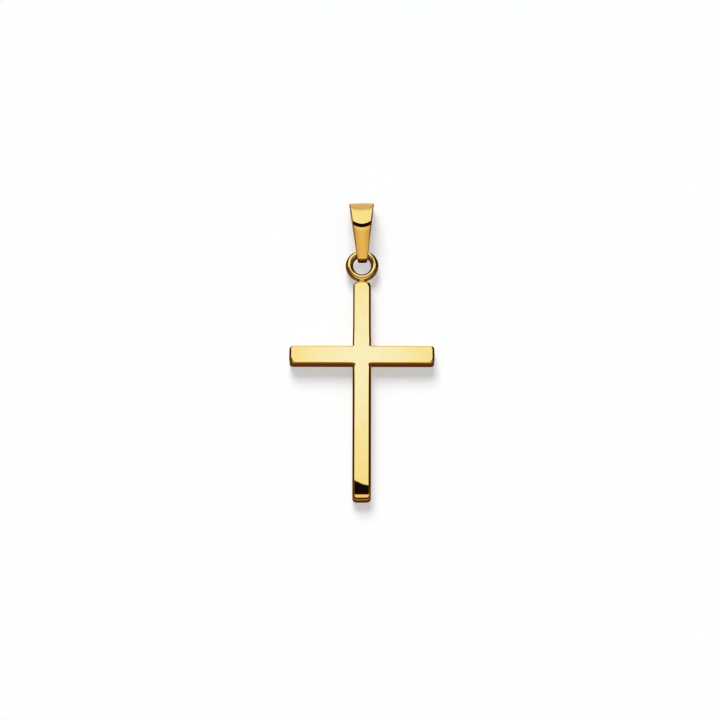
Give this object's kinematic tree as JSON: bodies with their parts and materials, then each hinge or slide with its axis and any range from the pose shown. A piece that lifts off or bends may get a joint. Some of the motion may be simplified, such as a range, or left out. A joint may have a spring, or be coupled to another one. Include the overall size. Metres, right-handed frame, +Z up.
{
  "type": "cross pendant",
  "caption": "Plain polished Latin cross with soft edges and an eye ring soldered to its head, hung from a tapered folded bail that takes a fine chain.",
  "frame": {"origin": "middle of the bounding box's base, on the surface that the pendant lies on", "axes": "+X along the arms to the right, +Y from the foot towards the bail, +Z up out of the front face"},
  "size_m": [0.016, 0.0344, 0.0028],
  "materials": {
    "gold": "mirror polished yellow gold"
  },
  "bodies": {
    "root": {"cross": "gold", "bail": "gold"}
  },
  "joints": []
}
